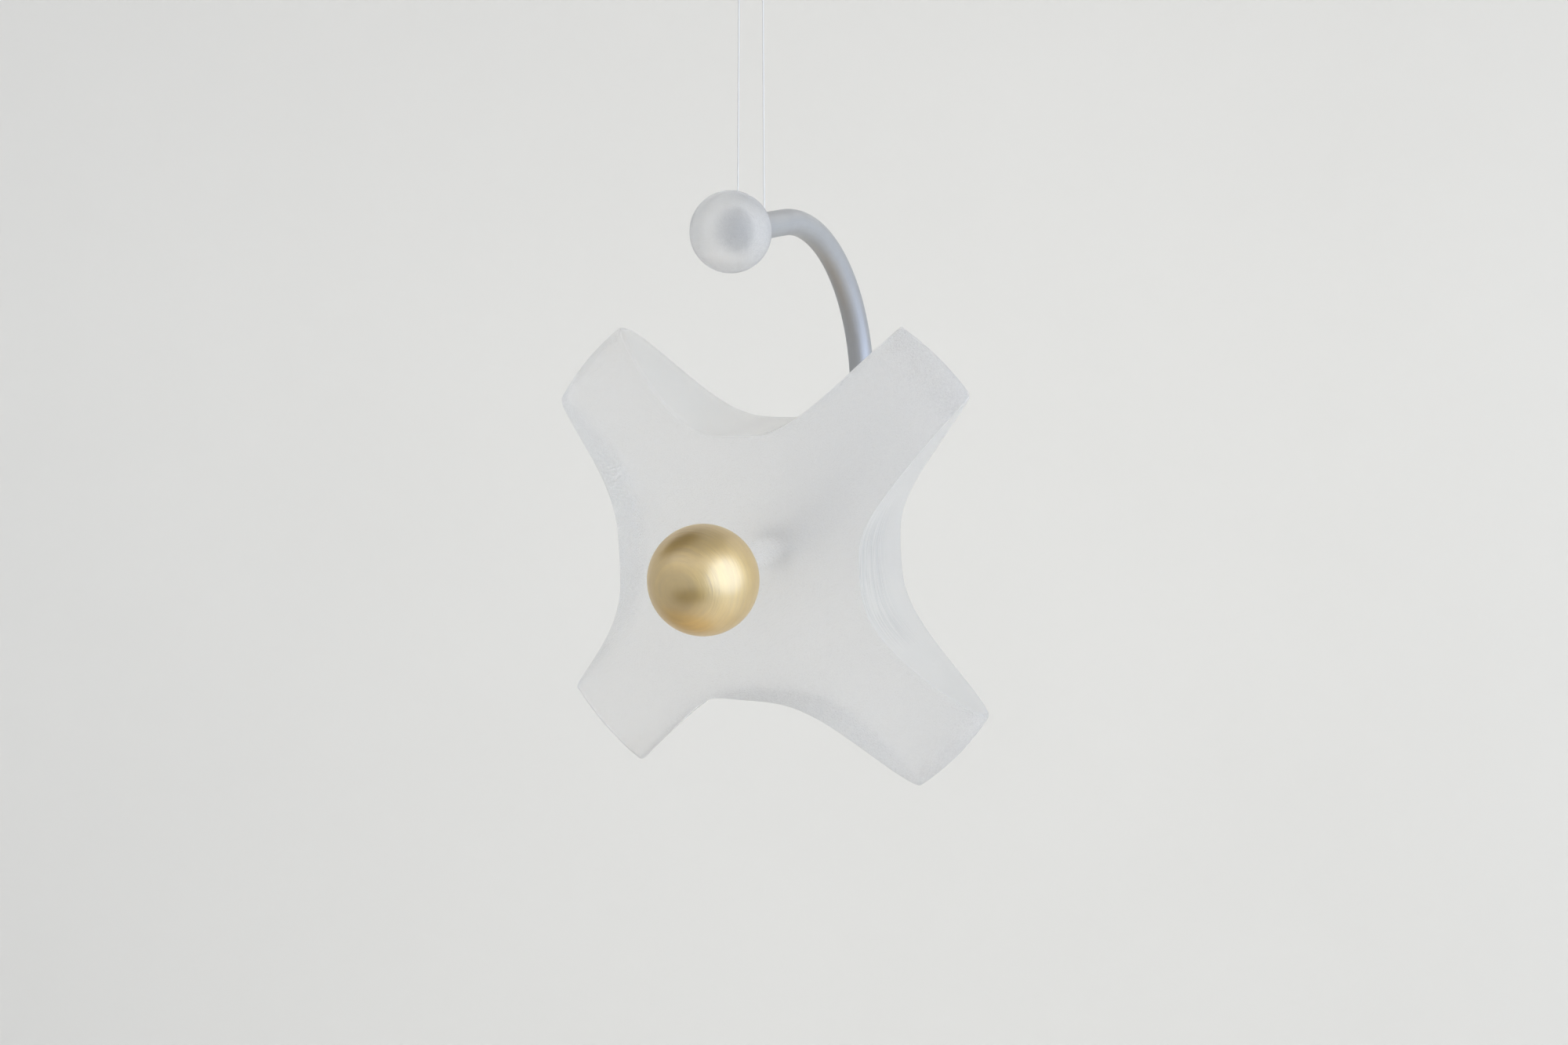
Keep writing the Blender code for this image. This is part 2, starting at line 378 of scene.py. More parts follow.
def outward_of(loop):
    """The outward direction at each point of a closed loop."""
    ahead = np.roll(loop, -1, 0) - np.roll(loop, 1, 0)
    outward = np.stack([ahead[:, 1], -ahead[:, 0]], 1)
    return outward / np.linalg.norm(outward, axis=1)[:, None]


def inside(points, loop):
    """Which of the points lie inside the closed loop."""
    x, z = points[:, 0], points[:, 1]
    within = np.zeros(len(points), bool)
    for (x0, z0), (x1, z1) in zip(loop, np.roll(loop, -1, 0)):
        if z0 == z1:
            continue
        crosses = (z0 > z) != (z1 > z)
        within ^= crosses & (x < x0 + (z - z0) / (z1 - z0) * (x1 - x0))
    return within


def face_net(outer, bore):
    """The flat net of one of the star's faces: its points, the outer loop's first, then the
    bore's, and its triangles."""
    rows = np.arange(-STAR_RIM_RADIUS, STAR_RIM_RADIUS, NET_SPACING * math.sqrt(3) / 2)
    grid = []
    for k, z in enumerate(rows):
        line = np.arange(-STAR_RIM_RADIUS, STAR_RIM_RADIUS, NET_SPACING) + (k % 2) * NET_SPACING / 2
        grid += [(x, z) for x in line]
    grid = np.array(grid)
    grid = grid[inside(grid, outer)]
    gap = NET_SPACING * 0.45
    near = [np.min(np.linalg.norm(outer - point, axis=1)) > gap for point in grid]
    clear = np.linalg.norm(grid, axis=1) > np.linalg.norm(bore[0]) + gap
    grid = grid[np.array(near) & clear]
    flat = [Vector(point) for point in np.concatenate([outer, bore, grid]).tolist()]
    rim, hole = len(outer), len(bore)
    edges = [(k, (k + 1) % rim) for k in range(rim)]
    edges += [(rim + k, rim + (k + 1) % hole) for k in range(hole)]
    points, _, faces, *_ = geometry.delaunay_2d_cdt(flat, edges, [], 0, 1e-9)
    assert len(points) == len(flat)
    points = np.array([tuple(point) for point in points])
    corners = np.array([list(face) for face in faces])
    middle = points[corners].mean(1)
    keep = inside(middle, outer) & ~inside(middle, bore)
    return points, corners[keep].tolist()


def eased_edge(loop, eases, steps):
    """Rings from a face to its cut's wall over a rounded edge: the first lies on the face, the
    last on the wall. Each is (x, z) rows and their height from the star's middle plane."""
    outward = outward_of(loop)
    turn = np.degrees(np.arctan2(loop[:, 1], loop[:, 0])) % 360
    ease = np.interp(turn, *np.array(eases).T)
    from_rim = STAR_RIM_RADIUS - np.linalg.norm(loop - STAR_RIM_MIDDLE, axis=1)
    most = np.minimum(EASE_OF_THICKNESS * half_thickness(loop), RIM_EASE + RIM_EASE_GROWTH * from_rim)
    ease = np.minimum(ease, most)
    rings = []
    for k in range(steps + 1):
        slant = math.pi / 2 * (1 - k / steps)
        flat = loop - (ease * (1 - math.cos(slant)))[:, None] * outward
        rings.append((flat, half_thickness(flat) - ease * (1 - math.sin(slant))))
    return rings


def star(finish):
    """The lens between its four cuts, as one closed skin: front face, rounded edge, wall, rounded
    edge, back face, and the bore that the rod goes through."""
    around, edge_rings, wall_rings, hole = 600, 8, 40, 48
    front_loop, back_loop = star_outlines(around)
    front = eased_edge(front_loop, FRONT_EASE, edge_rings)
    back = eased_edge(back_loop, BACK_EASE, edge_rings)
    turn = np.linspace(0, 2 * math.pi, hole, endpoint=False)
    bore = (ROD_RADIUS + BORE_CLEARANCE) * np.stack([np.cos(turn), np.sin(turn)], 1)
    points, faces, starts, surface = [], [], [], []
    for sense, rings in ((-1, front), (1, back)):
        net, triangles = face_net(rings[0][0], bore)
        first = len(points)
        starts.append(first)
        high = sense * half_thickness(net)
        points += [(x, y, z) for (x, z), y in zip(net, high)]
        surface += [(0, 0, 0)] * len(net)
        faces += [tuple(first + k for k in face) for face in triangles]
    loops = [list(range(around))]

    def ring_of(flat, y, wall):
        loops.append(list(range(len(points), len(points) + around)))
        points.extend((x, depth, z) for (x, z), depth in zip(flat, y))
        from_rim = STAR_RIM_RADIUS - np.linalg.norm(flat - STAR_RIM_MIDDLE, axis=1)
        sawn = wall * np.clip((from_rim - RIM_BAND) / RIM_BAND, 0, 1)
        surface.extend((behind, share, 0) for behind, share in zip((y + front[-1][1]) / MM, sawn))

    for k, (flat, height) in enumerate(front[1:]):
        ring_of(flat, -height, (k + 1) / edge_rings)
    near, far = front[-1], back[-1]
    for k in range(1, wall_rings):
        share = k / wall_rings
        ring_of(near[0] * (1 - share) + far[0] * share, -near[1] * (1 - share) + far[1] * share, 1)
    for k, (flat, height) in enumerate(reversed(back[1:])):
        ring_of(flat, height, 1 - k / edge_rings)
    loops.append([starts[1] + k for k in range(around)])
    for low, high in zip(loops, loops[1:]):
        faces += [(low[k], low[k - 1], high[k - 1], high[k]) for k in range(around)]
    mouth = half_thickness(bore[:1])[0]
    tunnel = [[around + k for k in range(hole)]]
    for y in np.linspace(0.2 * MM - mouth, mouth - 0.2 * MM, 12):
        tunnel.append(list(range(len(points), len(points) + hole)))
        points += [(x, y, z) for x, z in bore]
        surface += [(0, 0, 1)] * hole
    tunnel.append([starts[1] + around + k for k in range(hole)])
    for low, high in zip(tunnel, tunnel[1:]):
        faces += [(low[k - 1], low[k], high[k], high[k - 1]) for k in range(hole)]
    return mesh_object("star_body", points, faces, finish, STAR, surface)


# ---------------------------------------------------------------- balls and rod


def drilled_ball(name, radius, centre, rod_end, finish):
    """A ball with a blind hole for the rod; its mouth has a small chamfer."""
    hole = ROD_RADIUS + BORE_CLEARANCE
    chamfer = 0.15 * MM
    depth = rod_end - 0.1 * MM  # just past the rod's end
    last = math.asin((hole + chamfer) / radius)
    steps = 96
    profile = []
    for k in range(steps + 1):
        polar = (math.pi - last) * k / steps
        profile.append((radius * math.sin(polar), -radius * math.cos(polar)))
    mouth = radius * math.cos(last)
    bored = [BALL_POLISH] * len(profile) + [1] * 5
    profile += [(hole, mouth - chamfer), (hole, (mouth + depth) / 2)]
    profile += [(hole, depth), (hole / 2, depth), (0, depth)]
    return turned(name, profile, 128, finish, ORNAMENT @ Matrix.Translation(centre), bored)


def rod_line():
    """The rod's middle line in the ornament's frame, close enough together for its bends."""
    step = math.radians(1.5)

    def bend(centre, radius, start, end):
        steps = math.ceil((end - start) / step)
        turns = [start + (end - start) * k / steps for k in range(steps + 1)]
        return [centre + radius * Vector((0, math.cos(t), math.sin(t))) for t in turns]

    lower = Vector((0, UPPER_BEND_Y + UPPER_BEND - LOWER_BEND, LOWER_BEND))
    upper = Vector((0, UPPER_BEND_Y, LOWER_BEND))
    start = Vector((0, BRASS_BALL_Y + BRASS_BALL_RADIUS - ROD_IN_BRASS, 0))
    end = top_run(FROSTED_BALL_Y + FROSTED_BALL_RADIUS - ROD_IN_FROSTED)
    line = [start] + bend(lower, LOWER_BEND, -math.pi / 2, 0)
    line += bend(upper, UPPER_BEND, 0, math.pi / 2 + HOOK_DROOP)[1:] + [end]
    even = []
    for a, b in zip(line, line[1:]):
        parts = max(1, round((b - a).length / (1.2 * MM)))
        even += [a.lerp(b, k / parts) for k in range(parts)]
    return even + [line[-1]]


def rod_sweep_tree():
    """Sweeps a round bar along a line, with a chamfer at its ends. It keeps for the finish where
    each point lies along the bar and across it, in millimetres."""
    takes = {"Radius": "Float", "Chamfer": "Float", "Sides": "Int", "Finish": "Material"}
    tree, given, made = tree_of("rod_sweep", takes)
    line = add(tree, "GeometryNodeMeshToCurve", Mesh=given["Geometry"]).outputs[0]
    run = add(tree, "GeometryNodeSplineParameter").outputs["Length"]
    left = maths(tree, "SUBTRACT", add(tree, "GeometryNodeSplineLength").outputs["Length"], run)
    from_end = maths(tree, "MINIMUM", maths(tree, "MINIMUM", run, left), given["Chamfer"])
    radius = maths(tree, "ADD", maths(tree, "SUBTRACT", given["Radius"], given["Chamfer"]), from_end)
    line = noted(tree, line, "rod_run", "FLOAT", maths(tree, "DIVIDE", run, MM))
    ring = add(tree, "GeometryNodeCurvePrimitiveCircle", Resolution=given["Sides"], Radius=1.0)
    across = add(tree, "ShaderNodeVectorMath", {"operation": "SCALE"})
    give(tree, across, "0", add(tree, "GeometryNodeInputPosition").outputs[0])
    give(tree, across, "Scale", maths(tree, "DIVIDE", given["Radius"], MM))
    ring = noted(tree, ring.outputs["Curve"], "rod_across", "FLOAT_VECTOR", across.outputs[0])
    swept = add(tree, "GeometryNodeCurveToMesh", Curve=line, Profile_Curve=ring, Fill_Caps=True)
    give(tree, swept, "Scale", radius)
    close_tree(tree, made, swept.outputs[0], given["Finish"])
    return tree


def rod(finish):
    line = rod_line()
    chamfer = 0.25 * MM
    first = line[0] + (line[1] - line[0]).normalized() * chamfer
    last = line[-1] + (line[-2] - line[-1]).normalized() * chamfer
    line = [line[0], first, *line[1:-1], last, line[-1]]
    sizes = {"Radius": ROD_RADIUS, "Chamfer": chamfer, "Sides": 56, "Finish": finish}
    return finished("bent_rod", grown(rod_sweep_tree(), line, True, sizes), finish, ORNAMENT)


def stop_collar(finish):
    """A plain ring pressed on the rod behind the star, with its outer edges rounded, so that the
    star can't slide back. It keeps for the finish its radius and depth, so that the finish's
    lines run round it."""
    gap = 0.02 * MM
    start = STAR_THICKNESS / 2 + gap
    end = start + COLLAR_LENGTH
    hole = ROD_RADIUS + gap
    edge = 0.35 * MM
    outer = []
    for middle, first in ((end - edge, 0), (start + edge, 1)):
        for k in range(7):
            turn = math.pi / 2 * (first + k / 6)
            outer.append((COLLAR_RADIUS - edge + edge * math.sin(turn), middle + edge * math.cos(turn)))
    ring = [(hole, start), (hole, end), *outer, (hole, start)]
    made = turned("stop_collar", ring, 64, finish, ORNAMENT)
    back = ORNAMENT.inverted()
    lathed = made.data.attributes.new("rod_across", "FLOAT_VECTOR", "POINT")
    for corner, noted_here in zip(made.data.vertices, lathed.data):
        here = back @ corner.co / MM
        noted_here.vector = (math.hypot(here.x, here.z), here.y, 0)
    return made


# ---------------------------------------------------------------- thread and button


def smooth_line(route, per_span):
    """Points on a smooth curve through the route's points."""
    points = [Vector(point) for point in route]
    padded = [2 * points[0] - points[1], *points, 2 * points[-1] - points[-2]]
    line = []
    for before, start, end, after in zip(padded, padded[1:], padded[2:], padded[3:]):
        for step in range(per_span):
            t = step / per_span
            line.append(
                0.5
                * (
                    2 * start
                    + (end - before) * t
                    + (2 * before - 5 * start + 4 * end - after) * t**2
                    + (3 * start - 3 * end + after - before) * t**3
                )
            )
    return line + [points[-1]]


def thread(finish):
    """One strand down, round under the rod's top run and back up, each end drawn into its hole."""
    up = Vector((0, 0, THREAD_IN_BUTTON / MM))
    route = [Vector(point) for point in THREAD_ROUTE]
    line = [point * MM for point in smooth_line([route[0] + up, *route[1:-1], route[-1] + up], 6)]
    curve = bpy.data.curves.new("clear_thread", "CURVE")
    curve.dimensions = "3D"
    curve.bevel_depth = THREAD_DIAMETER / 2
    curve.bevel_resolution = 4
    curve.use_fill_caps = True
    spline = curve.splines.new("POLY")
    spline.points.add(len(line) - 1)
    for corner, point in zip(spline.points, line):
        corner.co = (*point, 1)
    spline.use_smooth = True
    curve.materials.append(finish)
    made = bpy.data.objects.new("clear_thread", curve)
    bpy.context.scene.collection.objects.link(made)
    return made, line[0]


def button(finish):
    """A turned disc: a rounded edge, a shallow dish below for the two strands and a recess above
    for a pad."""
    edge = 0.6 * MM
    low, wide = -BUTTON_THICKNESS, BUTTON_RADIUS
    pad = 0.62 * wide
    profile = [(0, -BUTTON_PAD_DEPTH), (pad, -BUTTON_PAD_DEPTH), (pad + 0.1 * MM, 0), (wide - edge, 0)]
    for k in range(1, 9):
        turn = math.pi / 2 * k / 8
        profile.append((wide - edge + edge * math.sin(turn), -edge + edge * math.cos(turn)))
    for k in range(9):
        turn = math.pi / 2 * k / 8
        profile.append((wide - edge + edge * math.cos(turn), low + edge - edge * math.sin(turn)))
    brim = 0.84 * wide
    for k in range(13):
        share = k / 12
        rise = BUTTON_DISH * (1 - math.cos(math.pi * share)) / 2
        profile.append((brim * (1 - share * 0.25), low + rise))
    profile.append((0, low + BUTTON_DISH))
    upright = Matrix.Rotation(math.pi / 2, 4, "X")
    return turned("button_disc", profile, 96, finish, upright)


def thread_lips_tree():
    """A rounded lip on each point."""
    takes = {"Lip Radius": "Float", "Lip Wire": "Float", "Finish": "Material"}
    tree, given, made = tree_of("thread_lips", takes)
    round_lip = add(tree, "GeometryNodeCurvePrimitiveCircle", Resolution=32, Radius=given["Lip Radius"])
    wire = add(tree, "GeometryNodeCurvePrimitiveCircle", Resolution=16, Radius=given["Lip Wire"])
    round_lip, wire = round_lip.outputs[0], wire.outputs[0]
    lip = add(tree, "GeometryNodeCurveToMesh", Curve=round_lip, Profile_Curve=wire).outputs[0]
    placed = add(tree, "GeometryNodeInstanceOnPoints", Points=given["Geometry"], Instance=lip)
    close_tree(tree, made, placed.outputs[0], given["Finish"])
    return tree


def thread_lips(finish):
    """The moulded lips round the two holes that the strands go into."""
    height = -BUTTON_THICKNESS + BUTTON_DISH
    points = [(THREAD_ROUTE[k][0] * MM, THREAD_ROUTE[k][1] * MM, height) for k in (0, -1)]
    sizes = {"Lip Radius": 0.55 * MM, "Lip Wire": 0.24 * MM, "Finish": finish}
    return finished("thread_lips", grown(thread_lips_tree(), points, False, sizes), finish, Matrix())


# ---------------------------------------------------------------- shader groups


def group_of(name, takes, gives):
    """A shader node group with these inputs and outputs: the tree, its input node and its output
    node."""
    tree = bpy.data.node_groups.new(name, "ShaderNodeTree")
    for label, value in takes.items():
        kind = "Float" if isinstance(value, float) else "Vector" if len(value) == 3 else "Color"
        socket = tree.interface.new_socket(name=label, in_out="INPUT", socket_type="NodeSocket" + kind)
        socket.default_value = value
    for label, kind in gives.items():
        tree.interface.new_socket(name=label, in_out="OUTPUT", socket_type="NodeSocket" + kind)
    return tree, tree.nodes.new("NodeGroupInput"), tree.nodes.new("NodeGroupOutput")


def mottle_group():
    """Cloudy variation of a colour. Place is in millimetres, Patch the size of a cloud."""
    takes = {
        "Place": (0.0, 0.0, 0.0),
        "Patch": 5.0,
        "Light": (1.0, 1.0, 1.0, 1.0),
        "Dark": (0.5, 0.5, 0.5, 1.0),
    }
    tree, given, made = group_of("mottle", takes, {"Colour": "Color", "Shade": "Float"})
    scale = maths(tree, "DIVIDE", 1.0, given.outputs["Patch"])
    noise = add(tree, "ShaderNodeTexNoise", Scale=scale, Detail=4.0, Roughness=0.55)
    give(tree, noise, "Vector", given.outputs["Place"])
    shade = spread(tree, noise.outputs["Fac"], 0.3, 0.7)
    give(tree, made, "Colour", blended(tree, shade, given.outputs["Dark"], given.outputs["Light"]))
    give(tree, made, "Shade", shade)
    return tree


def brush_lines_group():
    """Fine lines left by a brush, a lathe or a sander. Fineness is the lines per millimetre along
    each axis of Place, small along the lines themselves."""
    takes = {"Place": (0.0, 0.0, 0.0), "Fineness": (1.0, 1.0, 0.05)}
    tree, given, made = group_of("brush_lines", takes, {"Lines": "Float", "Bands": "Float"})
    drawn = add(tree, "ShaderNodeVectorMath", {"operation": "MULTIPLY"})
    give(tree, drawn, "0", given.outputs["Place"])
    give(tree, drawn, "1", given.outputs["Fineness"])
    along = drawn.outputs[0]
    fine = add(tree, "ShaderNodeTexNoise", Vector=along, Scale=1.0, Detail=3.0, Roughness=0.7)
    broad = add(tree, "ShaderNodeTexNoise", Vector=along, Scale=0.22, Detail=2.0, Roughness=0.5)
    give(tree, made, "Lines", spread(tree, fine.outputs["Fac"], 0.25, 0.75))
    give(tree, made, "Bands", spread(tree, broad.outputs["Fac"], 0.3, 0.7))
    return tree


def flecks_group():
    """Scattered specks of dust or scratches: 1 in a speck. Share is how many of the cells hold one."""
    takes = {"Place": (0.0, 0.0, 0.0), "Spacing": 4.0, "Size": 0.1, "Share": 0.3}
    tree, given, made = group_of("flecks", takes, {"Flecks": "Float"})
    scale = maths(tree, "DIVIDE", 1.0, given.outputs["Spacing"])
    cells = add(tree, "ShaderNodeTexVoronoi", Vector=given.outputs["Place"], Scale=scale)
    drawn_lot = add(tree, "ShaderNodeSeparateColor", Color=cells.outputs["Color"]).outputs[0]
    kept = maths(tree, "LESS_THAN", drawn_lot, given.outputs["Share"])
    far = maths(tree, "MULTIPLY", cells.outputs["Distance"], given.outputs["Spacing"])
    near = spread(tree, maths(tree, "DIVIDE", far, given.outputs["Size"]), 0.6, 1.0, 1.0, 0.0)
    give(tree, made, "Flecks", maths(tree, "MULTIPLY", kept, near))
    return tree


MOTTLE = mottle_group()
BRUSH_LINES = brush_lines_group()
FLECKS = flecks_group()


def use(tree, group, **values):
    made = tree.nodes.new("ShaderNodeGroup")
    made.node_tree = group
    for name, value in values.items():
        give(tree, made, name, value)
    return made.outputs


def place_in(tree, frame_of_piece):
    """Millimetres in a piece's own frame."""
    spot = add(tree, "ShaderNodeTexCoord")
    made = add(tree, "ShaderNodeMapping", {"vector_type": "TEXTURE"}, Scale=(MM, MM, MM))
    give(tree, made, "Location", frame_of_piece.to_translation())
    give(tree, made, "Rotation", tuple(frame_of_piece.to_euler()))
    give(tree, made, "Vector", spot.outputs["Object"])
    return made.outputs["Vector"]


def bumped(tree, height, depth, normal=None):
    """A normal that follows a height from 0 to 1, this deep in metres."""
    made = add(tree, "ShaderNodeBump", Height=height, Distance=depth, Strength=1.0)
    if normal is not None:
        give(tree, made, "Normal", normal)
    return made.outputs["Normal"]


# ---------------------------------------------------------------- materials

ACRYLIC_LIGHT = (0.995, 0.993, 0.988, 1)
ACRYLIC_DARK = (0.985, 0.983, 0.979, 1)
ACRYLIC_FLECK = (0.6, 0.6, 0.6, 1)
ACRYLIC_FLECKED = 0.35
ACRYLIC_CLEAR = 0.84
ACRYLIC_IOR = 1.49
FROST_GRAIN = 0.05
FROST_SMOOTH = 0.2
FROST_ROUGH = 0.76
FROST_SHARE = 0.36
FROST_BLEND = 0.15
FROST_RELIEF = 0.1 * MM
FROST_GRAIN_RELIEF = 0.03
FROST_HAZE = 0.22
FROST_HAZE_ROUGH = 0.5
BORE_FROST = 0.08
SAWN_FROST = 0.8
SAWN_TONE = (0.99, 0.98, 0.93, 1)
SAWN_SHARE = 0.5
SANDED_GREY = (0.8, 0.83, 0.85, 1)
SANDED_FINENESS = (0.42, 0.02, 0.02)
SANDED_SHARE = 0.8
SANDED_REACH = (9.0, 15.0)
SANDED_DEPTH = (7.0, 14.0)
SANDED_SPOT = (23.5, 0.0, -3.0)  # millimetres, in the star's own frame: its right cut's throat
STROKE_WIDTH = (0.06, 0.22)
STROKE_POLISH = 0.1
ROD_LIGHT = (0.585, 0.6, 0.615, 1)
ROD_DARK = (0.565, 0.575, 0.59, 1)
# Painted shade on the rod: a darker colour over the run nearest the star, fading out further up
ROD_PAINTED_SHADE = (0.49, 0.5, 0.52, 1)
ROD_PAINTED_SHADE_RUN = (92.0, 128.0)  # millimetres along the rod over which the painted shade fades, from darkest near the star to none
ROD_PAINTED_SHADE_SHARE = 0.85
ROD_BANDS = 0.3
ROD_LINES = (6.0, 6.0, 0.12)
ROD_LINE_DEPTH = 0.006 * MM
ROD_ROUGH = 0.5
ROD_ROUGH_LINES = 0.12
ROD_ROUGH_TONE = -0.06
ROD_FLECK = (0.3, 0.3, 0.3, 1)
ROD_FLECKED = 0.4
BRASS_LIGHT = (0.79, 0.525, 0.075, 1)
BRASS_DARK = (0.72, 0.465, 0.04, 1)
BRASS_RINGS = 0.5
BRASS_RING_TONE = (0.59, 0.38, 0.03, 1)
BRASS_RING_FINENESS = (0.1, 1.5, 0.1)
BRASS_RING_DEPTH = 0.07 * MM
BRASS_ROUGH = 0.45
BRASS_ROUGH_LINES = 0.1
BRASS_ROUGH_TONE = -0.04
BRASS_FLECK = (0.2, 0.13, 0.06, 1)
BRASS_FLECKED = 0.3
BRASS_LACQUER_ROUGH = 0.35
BRASS_LACQUER_IOR = 3.6
NYLON_LIGHT = (1.0, 0.99, 0.96, 1)
NYLON_DARK = (0.98, 0.97, 0.94, 1)
NYLON_CLEAR = 0.15
NYLON_IOR = 1.53
NYLON_LINES = (9.0, 9.0, 0.1)
NYLON_LINE_DEPTH = 0.004 * MM
NYLON_ROUGH = 0.3
NYLON_ROUGH_LINES = 0.15
PLASTIC_LIGHT = (0.82, 0.82, 0.8, 1)
PLASTIC_DARK = (0.76, 0.76, 0.73, 1)
PLASTIC_DUST = (0.4, 0.39, 0.37, 1)
PLASTIC_DUSTED = 0.5
PLASTIC_GRAIN = 0.16
PLASTIC_GRAIN_DEPTH = 0.012 * MM
PLASTIC_ROUGH = 0.4
PLASTIC_ROUGH_GRAIN = 0.12


def new_material(name):
    made = bpy.data.materials.new(name)
    made.use_nodes = True
    return made, made.node_tree, made.node_tree.nodes["Principled BSDF"]


def frosted_acrylic():
    """Clear acrylic blasted to an even frost. The drilled bores are left smoother, the sawn cuts
    are tinted, and the sander's lines stay on one of them."""
    made, tree, shader = new_material("frosted_acrylic")
    place = place_in(tree, STAR)
    surface = add(tree, "ShaderNodeAttribute", {"attribute_name": "surface"})
    depth, wall, bored = add(tree, "ShaderNodeSeparateXYZ", Vector=surface.outputs["Vector"]).outputs
    tint = use(tree, MOTTLE, Place=place, Patch=11.0, Light=ACRYLIC_LIGHT, Dark=ACRYLIC_DARK)
    grain = use(tree, MOTTLE, Place=place, Patch=FROST_GRAIN)
    flecks = use(tree, FLECKS, Place=place, Spacing=6.5, Size=0.16, Share=0.2)["Flecks"]
    specks = maths(tree, "MULTIPLY", flecks, ACRYLIC_FLECKED)
    colour = blended(tree, specks, tint["Colour"], ACRYLIC_FLECK)

    lines_at = add(tree, "ShaderNodeCombineXYZ", X=depth)
    split = add(tree, "ShaderNodeSeparateXYZ", Vector=place).outputs
    give(tree, lines_at, "Y", split[0])
    give(tree, lines_at, "Z", split[2])
    lines = use(tree, BRUSH_LINES, Place=lines_at.outputs[0], Fineness=SANDED_FINENESS)
    apart = add(tree, "ShaderNodeVectorMath", {"operation": "DISTANCE"})
    give(tree, apart, "0", place)
    give(tree, apart, "1", SANDED_SPOT)
    close_by = spread(tree, apart.outputs["Value"], *SANDED_REACH, 1.0, 0.0)
    shallow = spread(tree, depth, *SANDED_DEPTH, 1.0, 0.0)
    sanded = maths(tree, "MULTIPLY", maths(tree, "MULTIPLY", close_by, wall), shallow)
    off_stroke = maths(tree, "ABSOLUTE", maths(tree, "SUBTRACT", lines["Lines"], 0.5))
    strokes = spread(tree, off_stroke, *STROKE_WIDTH, 1.0, 0.0)
    ridges = maths(tree, "MULTIPLY", strokes, sanded)
    between = maths(tree, "SUBTRACT", sanded, ridges)
    colour = blended(tree, maths(tree, "MULTIPLY", between, SANDED_SHARE), colour, SANDED_GREY)
    colour = blended(tree, maths(tree, "MULTIPLY", wall, SAWN_SHARE), colour, SAWN_TONE)
    give(tree, shader, "Base Color", colour)

    low, high = FROST_SHARE - FROST_BLEND, FROST_SHARE + FROST_BLEND
    frost = spread(tree, grain["Shade"], low, high, FROST_SMOOTH, FROST_ROUGH)
    frost = maths(tree, "MULTIPLY", frost, maths(tree, "SUBTRACT", 1.0, wall))
    frost = maths(tree, "MULTIPLY_ADD", wall, SAWN_FROST, frost)
    frost = maths(tree, "MULTIPLY_ADD", ridges, -STROKE_POLISH, frost)
    frost = maths(tree, "MULTIPLY", frost, maths(tree, "SUBTRACT", 1.0, bored))
    frost = maths(tree, "MULTIPLY_ADD", bored, BORE_FROST, frost)
    give(tree, shader, "Roughness", frost)
    relief = maths(tree, "MULTIPLY_ADD", grain["Shade"], FROST_GRAIN_RELIEF, ridges)
    give(tree, shader, "Normal", bumped(tree, relief, FROST_RELIEF))
    give(tree, shader, "IOR", ACRYLIC_IOR)
    give(tree, shader, "Transmission Weight", ACRYLIC_CLEAR)
    give(tree, shader, "Sheen Weight", FROST_HAZE)
    give(tree, shader, "Sheen Roughness", FROST_HAZE_ROUGH)
    return made


def satin_aluminium():
    """A drawn rod, brushed lengthwise and clear anodised, with painted shade darkening it toward the
    star.
    """
    made, tree, shader = new_material("satin_aluminium")
    across = add(tree, "ShaderNodeAttribute", {"attribute_name": "rod_across"}).outputs["Vector"]
    run = add(tree, "ShaderNodeAttribute", {"attribute_name": "rod_run"}).outputs["Fac"]
    x, y, _ = add(tree, "ShaderNodeSeparateXYZ", Vector=across).outputs
    lengthwise = add(tree, "ShaderNodeCombineXYZ", X=x, Y=y, Z=run).outputs[0]
    lines = use(tree, BRUSH_LINES, Place=lengthwise, Fineness=ROD_LINES)
    tone = use(tree, MOTTLE, Place=place_in(tree, ORNAMENT), Patch=7.0, Light=ROD_LIGHT, Dark=ROD_DARK)
    flecks = use(tree, FLECKS, Place=lengthwise, Spacing=2.4, Size=0.09, Share=0.3)["Flecks"]
    banded = maths(tree, "MULTIPLY", lines["Bands"], ROD_BANDS)
    streaked = blended(tree, banded, tone["Colour"], ROD_DARK)
    # painted shade: the rod's colour darkens over its run nearest the star
    deep = spread(tree, run, *ROD_PAINTED_SHADE_RUN, ROD_PAINTED_SHADE_SHARE, 0.0)
    streaked = blended(tree, deep, streaked, ROD_PAINTED_SHADE)
    specks = maths(tree, "MULTIPLY", flecks, ROD_FLECKED)
    give(tree, shader, "Base Color", blended(tree, specks, streaked, ROD_FLECK))
    rough = maths(tree, "MULTIPLY_ADD", lines["Lines"], ROD_ROUGH_LINES, ROD_ROUGH)
    give(tree, shader, "Roughness", maths(tree, "MULTIPLY_ADD", tone["Shade"], ROD_ROUGH_TONE, rough))
    give(tree, shader, "Normal", bumped(tree, lines["Lines"], ROD_LINE_DEPTH))
    give(tree, shader, "Metallic", 1.0)
    return made


